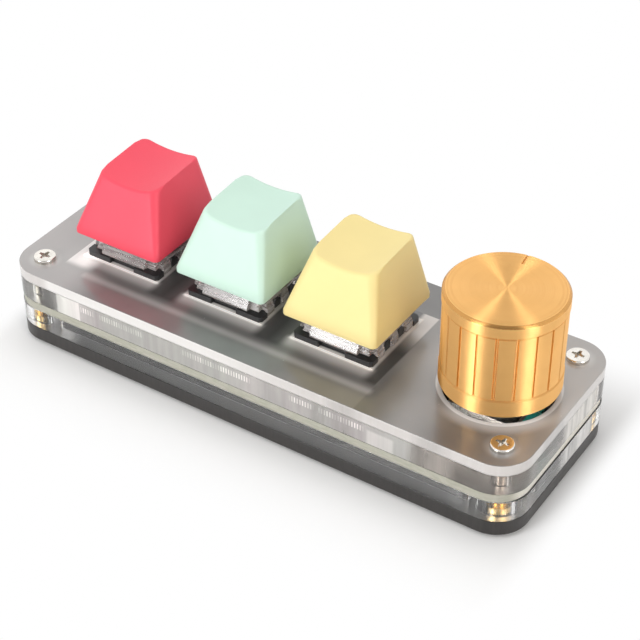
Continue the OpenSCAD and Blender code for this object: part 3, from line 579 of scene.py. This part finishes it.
def keycap_finish(tree, colour):
    """Dense keycap plastic with a satin, faintly pebbled skin."""
    pebble = grain(tree, 5.0, 2.0, rough=0.4)
    cloud = grain(tree, 0.12, 2.0).ramp(0.3, 0.7)
    return dict(ior=1.5, base_color=cloud.blend(shade(colour, 0.985), shade(colour, 1.015)),
                roughness=pebble.ramp(0.3, 0.7, 0.40, 0.50), normal=bumped(pebble, 0.35, 0.000012))


def knob_finish(tree, colour):
    """Anodised aluminium, turned on a lathe so that the tool lines run round the axis."""
    x, y, z = axes(millimetres(tree))
    radius = from_axis(x, y, KNOB_X)
    along = result(tree, "CombineXYZ", {0: radius.maths("MINIMUM", 9.7), 1: 0.0, 2: z})
    turned = result(tree, "TexNoise", {"Vector": along, "Scale": 9.0, "Detail": 2.0}, "Fac")
    polished = (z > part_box("knob_shell")[1].z * IN_MM - 0.47) * (radius > 9.61)
    tone = grain(tree, 0.3, 2.0).blend(shade(colour, 0.95), shade(colour, 1.05))
    # The polished bevel takes a darker gold, a painted dark reflection
    return dict(metallic=1.0, anisotropic=1.0, anisotropic_rotation=0.25,
                base_color=polished.blend(tone, PAINTED_DARK_BEVEL_GOLD),
                roughness=turned.ramp(0.3, 0.7, 0.44, 0.52) - polished * 0.26,
                normal=bumped(turned * (1.0 - polished), 0.15, 0.000003),
                tangent=result(tree, "Tangent", direction_type="RADIAL", axis="Z"))


def look_of(slot):
    """The function that makes a slot's finish, and the values it takes."""
    colours = bpy.context.scene.keypad_colours
    return {
        "screw_steel": (metal, (0.74, 0.71, 0.66), 0.20, 5.0, (1, 1, 1)),
        "brass": (metal, (0.83, 0.58, 0.24), 0.24, 5.0),
        "foot_rubber": (moulded, (0.035, 0.035, 0.037), 0.75, 4.0, 0.00004),
        "ceramic": (moulded, (0.42, 0.30, 0.17), 0.55, 6.0, 0.00001, 0.12),
        "light_plastic": (moulded, (0.86, 0.80, 0.62), 0.30, 4.0),
        "sheet_steel": (metal, (0.92, 0.92, 0.90), 0.22, 4.0, (0.1, 1, 1)),
        "switch_black": (moulded, (0.016, 0.016, 0.017), 0.34, 4.0),
        "stem_red": (moulded, colours.stem, 0.36),
        "spring_steel": (metal, (0.66, 0.66, 0.67), 0.20),
        "contact_copper": (metal, (0.86, 0.52, 0.30), 0.24),
        "encoder_teal": (moulded, colours.encoder, 0.40),
        "zinc": (metal, (0.62, 0.62, 0.62), 0.38, 3.0, (1, 1, 1), 0.00001),
        "rotor_plastic": (moulded, (0.78, 0.75, 0.68), 0.42),
        "shaft_metal": (metal, (0.66, 0.66, 0.67), 0.24, 8.0, (0.1, 0.1, 1)),
        "core_plastic": (moulded, (0.028, 0.027, 0.026), 0.46),
        "cap_coral": (keycap_finish, colours.left_cap),
        "cap_mint": (keycap_finish, colours.middle_cap),
        "cap_cream": (keycap_finish, colours.right_cap),
        "black_acrylic": (black_acrylic,),
        "clear_acrylic": (clear_acrylic,),
        "satin_acrylic": (satin_acrylic,),
        "board": (board_finish,),
        "chip_plastic": (chip_finish,),
        "clear_plastic": (clear_plastic,),
        "gold_aluminium": (knob_finish, colours.knob),
    }[slot]


def finish_of(slot):
    """The material of a slot, made when it is first asked for."""
    if slot not in FINISHES:
        material = bpy.data.materials.new(slot)
        tree = emptied(material)
        look, *values = look_of(slot)
        inputs = {name.replace("_", " ").title().replace("Ior", "IOR"): given
                  for name, given in look(tree, *values).items()}
        add(tree, "OutputMaterial", {"Surface": result(tree, "BsdfPrincipled", inputs)})
        FINISHES[slot] = material
    return FINISHES[slot]


# ---------------------------------------------------------------- operators


class KEYPAD_OT_finishes(bpy.types.Operator):
    """Give every solid of the frame its finish"""

    bl_idname = "keypad.finishes"
    bl_label = "Finishes"

    def execute(self, context):
        for node in NODES.values():
            for index, old in enumerate(node.data.materials):
                slot = old.name.split(".")[0]
                old.name = slot + ".frame"
                node.data.materials[index] = finish_of(slot)
        return {"FINISHED"}


class KEYPAD_OT_case(bpy.types.Operator):
    """Round the cut edges of the case layers"""

    bl_idname = "keypad.case"
    bl_label = "Case Layers"

    def execute(self, context):
        sizes = context.scene.keypad_sizes
        softened("bottom_plate", "case_plate", sizes.plate_edge)
        softened("lower_frame", "case_frame", sizes.cover_edge)
        softened("cover_spacer", "case_spacer", sizes.cover_edge / 4)
        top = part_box("top_cover")[1].z
        softened("top_cover", "case_cover", sizes.cover_edge, above=top - 0.01 * MM)
        return {"FINISHED"}


class KEYPAD_OT_threads(bpy.types.Operator):
    """Cut a thread round the shank of each case screw"""

    bl_idname = "keypad.threads"
    bl_label = "Screw Threads"

    def execute(self, context):
        pitch = context.scene.keypad_sizes.thread_pitch
        low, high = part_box("case_screws")
        half_x = (high.x - low.x) / 2 - SCREW_RADIUS * MM
        half_y = (high.y - low.y) / 2 - SCREW_RADIUS * MM
        bottom, top = low.z + 0.2 * MM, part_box("top_cover")[1].z - 0.3 * MM
        root, crest, flank = 0.96 * MM, 1.025 * MM, 0.35 * pitch
        per_turn = 24
        steps = int((top - bottom) / pitch * per_turn)
        bm = bmesh.new()
        for sx, sy in ((-1, -1), (-1, 1), (1, -1), (1, 1)):
            last = None
            for i in range(steps + 1):
                a = 2 * math.pi * i / per_turn
                z = bottom + pitch * i / per_turn
                row = ring(bm, [polar(sx * half_x, sy * half_y, z + dz, r, a)
                                for r, dz in ((root, -flank), (crest, 0.0), (root, flank))])
                if last:
                    bm.faces.new((last[0], row[0], row[1], last[1]))
                    bm.faces.new((last[1], row[1], row[2], last[2]))
                last = row
        made("screw_threads", bm, "base", "screw_steel", 60.0)
        return {"FINISHED"}


class KEYPAD_OT_switches(bpy.types.Operator):
    """Round the edges of the switch housings, covers and stems"""

    bl_idname = "keypad.switches"
    bl_label = "Key Switches"

    def execute(self, context):
        edge = context.scene.keypad_sizes.moulded_edge
        for key in KEYS:
            softened("switch_base_" + key, "housing_" + key, edge)
            softened("switch_cover_" + key, "clear_housing_" + key, edge)
            softened("switch_stem_" + key, "stem_" + key, edge * 0.7)
        return {"FINISHED"}


class KEYPAD_OT_springs(bpy.types.Operator):
    """Wind the springs of the key switches"""

    bl_idname = "keypad.springs"
    bl_label = "Switch Springs"

    def execute(self, context):
        for key in KEYS:
            self.wind(key, context.scene.keypad_sizes.spring_wire / 2)
        return {"FINISHED"}

    def wind(self, key, r):
        low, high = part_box("switch_spring_" + key)
        x0, coil = (low.x + high.x) / 2, (high.x - low.x) / 2 - r
        height = high.z - low.z
        bottom, length = low.z + r, height - 2 * r
        turns, per_turn, sides = 9, 28, 8
        # The end turns lie close, and the turns between them share the rest of the length
        closed = 2 * r / length
        open_rise = (1 - 2 * closed) / (turns - 2)
        bm = bmesh.new()
        rows = []
        for i in range(turns * per_turn + 1):
            u = i / per_turn
            rise = (min(u, 1) * closed + min(max(u - 1, 0), turns - 2) * open_rise
                    + max(u - turns + 1, 0) * closed)
            out = Vector((math.cos(2 * math.pi * u), math.sin(2 * math.pi * u), 0))
            middle = Vector((x0, 0, bottom + rise * length)) + out * coil
            rows.append(ring(bm, [middle + out * (r * math.cos(a)) + Vector((0, 0, r * math.sin(a)))
                                  for a in (2 * math.pi * k / sides for k in range(sides))]))
        bm.faces.new(rows[0])
        skin(bm, rows)
        bm.faces.new(rows[-1])
        piece = made("spring_" + key, bm, "base", "spring_steel", 50.0)
        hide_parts("switch_spring_" + key)
        press = next(joint for joint in frame["joints"] if joint["name"] == "press_" + key)
        1 + press["range_m"][0] / height
        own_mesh(piece)


class KEYPAD_OT_keycaps(bpy.types.Operator):
    """Model the three sculpted keycaps"""

    bl_idname = "keypad.keycaps"
    bl_label = "Keycaps"

    def execute(self, context):
        slots = {"left": "cap_coral", "middle": "cap_mint", "right": "cap_cream"}
        for key in KEYS:
            self.keycap(key, slots[key], context.scene.keypad_sizes.cap_edge)
        return {"FINISHED"}

    def keycap(self, key, slot, edge):
        """Sculpted shell with a cylindrical dish, an open underside and a cross socket."""
        low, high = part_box("keycap_" + key)
        x0, z0 = (low.x + high.x) / 2, low.z
        base, top_w, top_d, shift = 18.2 * MM, 12.4 * MM, 13.0 * MM, 1.8 * MM
        front, back, dish, skirt = 11.0 * MM, 11.7 * MM, 0.9 * MM, 0.6 * MM
        foot_r, head_r, foot_edge, tries = 1.0 * MM, 1.7 * MM, 0.15 * MM, 12
        tilt = (back - front) / top_d
        mid = (front + back) / 2
        dish_r = ((top_w / 2) ** 2 + dish ** 2) / (2 * dish)

        def dish_z(x, y):
            return mid + (y - shift) * tilt - dish + dish_r - math.sqrt(max(dish_r ** 2 - x * x, 0.0))

        # Where the leaning wall meets the dish: each try uses the height that the last one found
        foot = rounded_loop(base / 2, base / 2, foot_r)
        painted_flange_light = []
        for (fx, fy), (hx, hy) in zip(foot, rounded_loop(top_w / 2, top_d / 2, head_r)):
            hy += shift
            full = mid + (hy - shift) * tilt
            s = 0.95
            for _ in range(tries):
                x, y = fx + (hx - fx) * s, fy + (hy - fy) * s
                s = min(1.0, (dish_z(x, y) - skirt) / (full - skirt))
            painted_flange_light.append((fx + (hx - fx) * s, fy + (hy - fy) * s, skirt + (full - skirt) * s))
        # Rings up the wall by shares of its height, and then from the rim in to the middle of the dish
        bm = bmesh.new()
        rings = [ring(bm, [(x0 + fx, fy, z0) for fx, fy in foot])]
        for t in (0.0001, 0.15, 0.35, 0.55, 0.75, 0.9, 1.0):
            rings.append(ring(bm, [
                (x0 + fx + (rx - fx) * t, fy + (ry - fy) * t, z0 + skirt + (rz - skirt) * t)
                for (fx, fy), (rx, ry, rz) in zip(foot, painted_flange_light)]))
        edge_ring = rings[-1]
        for s in (0.93, 0.84, 0.72, 0.58, 0.42, 0.26, 0.12):
            spots = [(rx * s, shift + (ry - shift) * s) for rx, ry, rz in painted_flange_light]
            rings.append(ring(bm, [(x0 + x, y, z0 + dish_z(x, y)) for x, y in spots]))
        skin(bm, rings)
        fan(bm, rings[-1], (x0, shift, z0 + dish_z(0, shift)))
        # Inside: rim of the skirt, inner wall and ceiling
        wall, ceiling, in_foot_r, in_head_r = 1.3 * MM, 8.8 * MM, 0.5 * MM, 0.85 * MM
        share = ceiling / mid
        in_w = base + (top_w - base) * share - 2 * wall
        in_d = base + (top_d - base) * share - 2 * wall
        in_foot = rounded_loop(base / 2 - wall, base / 2 - wall, in_foot_r)
        in_head = rounded_loop(in_w / 2, in_d / 2, in_head_r)
        inner = [ring(bm, [(x0 + x, y, z0) for x, y in in_foot])]
        for s in (1, 0.6, 0.3):
            inner.append(ring(bm, [(x0 + x * s, y * s + shift * share, z0 + ceiling) for x, y in in_head]))
        skin(bm, [rings[0], *inner])
        fan(bm, inner[-1], (x0, shift * share, z0 + ceiling))
        round_off(bm, [bm.edges.get(pair) for pair in pairs(edge_ring)], edge, 4)
        level, bend = 0.0001 * MM, 0.6
        foot_ring = [e for e in bm.edges
                     if all(abs(v.co.z - z0) < level for v in e.verts) and e.calc_face_angle(0) > bend]
        round_off(bm, foot_ring, foot_edge, 2)
        self.socket(bm, x0, z0, ceiling + 0.1 * MM)
        piece = made("cap_" + key, bm, "key_" + key, slot, 50.0)
        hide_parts("keycap_" + key)

    def socket(self, bm, x0, z0, ceiling):
        """Round boss with a cross-shaped hole that grips the stem."""
        arm, thin, wide = 2.08 * MM, 0.58 * MM, 0.68 * MM
        radius, foot, depth, n = 2.8 * MM, 1.25 * MM, 5.0 * MM, 48
        cross = [(arm, -thin), (arm, thin), (wide, thin), (wide, arm), (-wide, arm), (-wide, thin),
                 (-arm, thin), (-arm, -thin), (-wide, -thin), (-wide, -arm), (wide, -arm), (wide, -thin)]
        low = ring(bm, circle_points(x0, z0 + foot, radius, n))
        skin(bm, [low, ring(bm, circle_points(x0, z0 + ceiling, radius, n))])
        mouth, end = (ring(bm, [(x0 + x, y, z) for x, y in cross]) for z in (z0 + foot, z0 + depth))
        skin(bm, [mouth, end])
        bm.faces.new(end)
        edges = [bm.edges.get(pair) for row in (low, mouth) for pair in pairs(row)]
        bmesh.ops.triangle_fill(bm, use_beauty=True, use_dissolve=False, edges=edges)


# Degrees from the keypad's right, seen from above
POINTER_ANGLE = 98


class KEYPAD_OT_knob(bpy.types.Operator):
    """Turn the knob with its flutes, bands, bevel and pointer notch"""

    bl_idname = "keypad.knob"
    bl_label = "Knob"

    def execute(self, context):
        depth = context.scene.keypad_sizes.flute_depth
        low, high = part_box("knob_shell")
        x0, foot, top = (low.x + high.x) / 2, low.z, high.z
        r, shell, roof = 10.1 * MM, 1.5 * MM, 2.5 * MM
        wall = r - 0.12 * MM
        line, bevel, soft, lip = 0.2 * MM, 0.45 * MM, 0.02 * MM, 0.03 * MM
        band_low, band_high = foot + 3.1 * MM, top - 2.5 * MM
        angles = self.angles()
        # (height, radius, whether the flutes are cut there)
        outline = [
            (foot, r - 0.2 * MM, 0), (foot + 2 * soft, r - 3 * soft, 0), (foot + 0.2 * MM, r, 0),
            (band_low - line - lip, r, 0), (band_low - line, r - soft, 0),
            (band_low, wall - line, 0), (band_low + soft, wall - line, 1),
            (band_low + line, wall, 1), (band_low + line + 2 * soft, wall, 1),
            (band_high - line - 2 * soft, wall, 1), (band_high - line, wall, 1),
            (band_high - soft, wall - line, 1), (band_high, wall - line, 0),
            (band_high + line, r - soft, 0), (band_high + line + lip, r, 0),
            (top - bevel - 2 * soft, r, 0), (top - bevel, r - soft, 0),
            (top - soft, r - bevel, 0), (top, r - bevel - 3 * soft, 0),
        ]
        outline += [(top, (r - bevel) * s, 0) for s in (0.85, 0.7, 0.55, 0.4, 0.25, 0.12)]
        bm = bmesh.new()
        rings = []
        for z, radius, fluted in outline:
            radii = [min(radius, wall - depth * share) if fluted and share else radius for a, share in angles]
            rings.append(ring(bm, [polar(x0, 0, z, q, a) for q, (a, share) in zip(radii, angles)]))
        skin(bm, rings)
        fan(bm, rings[-1], (x0, 0, top))
        inner = [ring(bm, [polar(x0, 0, z, r - shell, a) for a, share in angles]) for z in (foot, top - roof)]
        skin(bm, [rings[0], *inner])
        bm.faces.new(inner[1])
        piece = made("knob_body", bm, "knob", "gold_aluminium", 28.0)
        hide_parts("knob_shell")
        self.notch(piece, x0, top)
        weigh_normals(piece)
        softened("knob_core", "knob_hub", 0.1 * MM)
        return {"FINISHED"}

    def angles(self):
        """Angles round the knob, each with the share of a flute's depth that is cut there."""
        flutes, first = 20, 2.7
        half_width, radius = 0.22, 9.98
        half = math.degrees(half_width / radius)
        profile = [(-1.05, 0.0), (-1.0, 0.12), (-0.8, 0.62), (-0.45, 0.93), (0.0, 1.0),
                   (0.45, 0.93), (0.8, 0.62), (1.0, 0.12), (1.05, 0.0)]
        found = []
        for i in range(flutes):
            at = first + 360 // flutes * i
            found += [(math.radians(at + u * half), share) for u, share in profile]
            found += [(math.radians(at + d), 0.0) for d in (3.0, 5.0, 7.0, 9.0, 11.0, 13.0, 15.0)]
        return found

    def notch(self, piece, x0, top):
        """Cuts the pointer notch into the top face with a boolean."""
        length, width, height, inset = 4.6 * MM, 0.5 * MM, 0.7 * MM, 7.0 * MM
        bm = bmesh.new()
        bmesh.ops.create_cube(bm, size=1.0)
        bmesh.ops.scale(bm, vec=(length, width, height), verts=bm.verts)
        bmesh.ops.translate(bm, vec=(inset + length / 2, 0, 0), verts=bm.verts)
        turn = Matrix.Rotation(math.radians(POINTER_ANGLE), 3, "Z")
        bmesh.ops.rotate(bm, cent=(0, 0, 0), matrix=turn, verts=bm.verts)
        bmesh.ops.translate(bm, vec=(x0, 0, top), verts=bm.verts)
        cutter = placed("notch_cutter", bm)
        modifier = piece.modifiers.new("notch", "BOOLEAN")
        modifier.object = cutter
        modifier.operation = "DIFFERENCE"
        modifier.solver = "EXACT"
        settle(piece)
        bpy.data.objects.remove(cutter)


# ---------------------------------------------------------------- stage

CAMERA_PLACE, CAMERA_LENS = (0.13251, -0.19566, 0.19358), 97.265
# Degrees: heading, look down and roll
CAMERA_TURN, CAMERA_DOWN, CAMERA_ROLL = 33.329, 37.447, -0.205
WHITE = (1, 1, 1, 1)
# Bright strips that gloss sees: azimuth and half width in degrees, low and high end, strength
STRIPS = ((-110.0, 9.0, -0.1, 0.4, 11.5), (-110.0, 9.0, 0.4, 0.95, 1.5), (-17.0, 9.0, -0.1, 0.4, 8.0),
          (-17.0, 9.0, 0.4, 0.95, 1.5), (20.0, 24.0, -0.1, 0.4, 0.5), (-60.0, 22.0, -0.1, 0.4, 0.6))


def direction(azimuth, height):
    """Unit vector for an azimuth and a height in degrees."""
    a, e = math.radians(azimuth), math.radians(height)
    return Vector((math.cos(a) * math.cos(e), math.sin(a) * math.cos(e), math.sin(e)))


def cosine(degrees):
    return math.cos(math.radians(degrees))


class KEYPAD_OT_stage(bpy.types.Operator):
    """Set the camera, the floor and the soft light"""

    bl_idname = "keypad.stage"
    bl_label = "Stage"

    def execute(self, context):
        scene = context.scene
        stage = scene.keypad_stage
        camera = bpy.data.cameras.new("view")
        camera.lens, camera.sensor_width = CAMERA_LENS, 36.0
        camera.clip_start, camera.clip_end = 0.01, 20.0
        seat = bpy.data.objects.new("view", camera)
        scene.collection.objects.link(seat)
        turn = (Matrix.Rotation(math.radians(CAMERA_TURN), 4, "Z")
                @ Matrix.Rotation(math.radians(90 - CAMERA_DOWN), 4, "X")
                @ Matrix.Rotation(math.radians(CAMERA_ROLL), 4, "Z"))
        seat.matrix_world = Matrix.Translation(CAMERA_PLACE) @ turn
        scene.camera = seat
        self.floor(stage)
        self.world(scene, stage)
        self.softbox(scene, "left_softbox", -110.0, 34.0, (0.36, 0.85), stage.key_power)
        self.softbox(scene, "right_softbox", -28.0, 34.0, (0.30, 0.75), stage.side_power, (1.0, 0.93, 0.84))
        self.softbox(scene, "top_softbox", 123.0, 78.0, (0.50, 0.50), stage.top_power)
        scene.view_settings.view_transform = "Standard"
        scene.cycles.max_bounces = 20
        scene.cycles.transmission_bounces = 16
        scene.cycles.glossy_bounces = 8
        scene.cycles.transparent_max_bounces = 12
        return {"FINISHED"}

    def shown(self, tree):
        """One for rays that show the background: from the camera, a gloss or a clear part."""
        path = add(tree, "LightPath").outputs
        return chain("MAXIMUM", *(Value(tree, path["Is " + ray + " Ray"])
                                  for ray in ("Camera", "Glossy", "Transmission")))

    def floor(self, stage):
        bm = bmesh.new()
        rows = [ring(bm, circle_points(0, 0, radius, 64)) for radius in (0.02, 0.08, 0.2, 0.6, 3.0)]
        bm.faces.new(rows[0])
        skin(bm, rows)
        floor = placed("floor", bm)
        material = bpy.data.materials.new("floor")
        tree = emptied(material)
        paper = result(tree, "BsdfDiffuse", {"Color": rgba(stage.floor_colour)})
        white = result(tree, "Emission", {"Color": WHITE, "Strength": 1.0})
        # Paper that takes the keypad's shadow, and turns white away from it, sooner beyond its ends
        sooner, shadow = 3.3, 0.018
        x, y = axes(result(tree, "TexCoord", output="Object"))[:2]
        reach = CAD_BOX[1]
        out_x, out_y = (abs(x) - reach[0]) * sooner, abs(y) - reach[1]
        far = from_axis(out_x.maths("MAXIMUM"), out_y.maths("MAXIMUM")).ramp(0.0, shadow, 0.05, 1.0)
        mix = result(tree, "MixShader", {0: far * self.shown(tree), 1: paper, 2: white})
        add(tree, "OutputMaterial", {"Surface": mix})
        floor.data.materials.append(material)

    def world(self, scene, stage):
        scene.world = bpy.data.worlds.new("room")
        tree = emptied(scene.world)
        room = result(tree, "Background", {"Color": WHITE, "Strength": stage.room_light})
        # Gloss sees a white backdrop behind the keypad, a dimmer room with a dark part beside it, and strips
        seen = self.toward(tree, 123.0, 20.0).ramp(cosine(56.0), cosine(36.0), 1.15, 1.35)
        seen = seen * self.toward(tree, -64.0, 52.0).ramp(cosine(32.0), cosine(18.0), 1.0, 0.3)
        height = axes(result(tree, "TexCoord", output="Generated"))[2]
        for azimuth, half, low, high, strength in STRIPS:
            wide = self.toward(tree, azimuth).ramp(cosine(half * 1.2), cosine(half * 0.8))
            seen = seen + wide * height.within(low, high, 0.1) * strength
        level = result(tree, "LightPath", output="Is Glossy Ray").mix(1.0, seen)
        white = result(tree, "Background", {"Color": WHITE, "Strength": level})
        mix = result(tree, "MixShader", {0: self.shown(tree), 1: room, 2: white})
        add(tree, "OutputWorld", {"Surface": mix})

    def toward(self, tree, azimuth, height=None):
        """Cosine of the angle between a world ray and a direction, in the plane if no height is given."""
        way = result(tree, "TexCoord", output="Generated")
        if height is None:
            way = result(tree, "VectorMath", {0: way, 1: (1.0, 1.0, 0.0)}, operation="MULTIPLY")
            way = result(tree, "VectorMath", {0: way}, operation="NORMALIZE")
        aim = direction(azimuth, height or 0.0)
        return result(tree, "VectorMath", {0: way, 1: aim}, "Value", operation="DOT_PRODUCT")

    def softbox(self, scene, name, azimuth, height, size, power, colour=(1.0, 1.0, 1.0)):
        """A tall rectangular light, one metre away, that faces the keypad."""
        light = bpy.data.lights.new(name, "AREA")
        light.shape, light.size, light.size_y, light.energy = "RECTANGLE", size[0], size[1], power
        light.color = colour
        lamp = bpy.data.objects.new(name, light)
        lamp.visible_glossy = False
        scene.collection.objects.link(lamp)
        lamp.location = direction(azimuth, height)
        lamp.rotation_euler = (-lamp.location).to_track_quat("-Z", "Y").to_euler()


class KEYPAD_PT_panel(bpy.types.Panel):
    """Settings and steps of the keypad's finish"""

    bl_idname = "KEYPAD_PT_panel"
    bl_label = "Keypad"
    bl_space_type = "VIEW_3D"
    bl_region_type = "UI"
    bl_category = "Keypad"

    def draw(self, context):
        layout = self.layout
        for group in (context.scene.keypad_sizes, context.scene.keypad_colours, context.scene.keypad_stage):
            box = layout.box()
            for name in group.__annotations__:
                box.prop(group, name)
        for step in STEPS:
            layout.operator(step.bl_idname)


STEPS = (KEYPAD_OT_finishes, KEYPAD_OT_case, KEYPAD_OT_threads, KEYPAD_OT_switches, KEYPAD_OT_springs,
         KEYPAD_OT_keycaps, KEYPAD_OT_knob, KEYPAD_OT_stage)
CLASSES = (KeypadSizes, KeypadColours, KeypadStage, *STEPS, KEYPAD_PT_panel)


def register():
    for cls in CLASSES:
        bpy.utils.register_class(cls)
    bpy.types.Scene.keypad_sizes = bpy.props.PointerProperty(type=KeypadSizes)
    bpy.types.Scene.keypad_colours = bpy.props.PointerProperty(type=KeypadColours)
    bpy.types.Scene.keypad_stage = bpy.props.PointerProperty(type=KeypadStage)


def unregister():
    del bpy.types.Scene.keypad_stage
    del bpy.types.Scene.keypad_colours
    del bpy.types.Scene.keypad_sizes
    for cls in reversed(CLASSES):
        bpy.utils.unregister_class(cls)


def main():
    register()
    bpy.ops.keypad.finishes()
    bpy.ops.keypad.case()
    bpy.ops.keypad.threads()
    bpy.ops.keypad.switches()
    bpy.ops.keypad.springs()
    bpy.ops.keypad.keycaps()
    bpy.ops.keypad.knob()
    bpy.ops.keypad.stage()


if __name__ == "__main__":
    main()
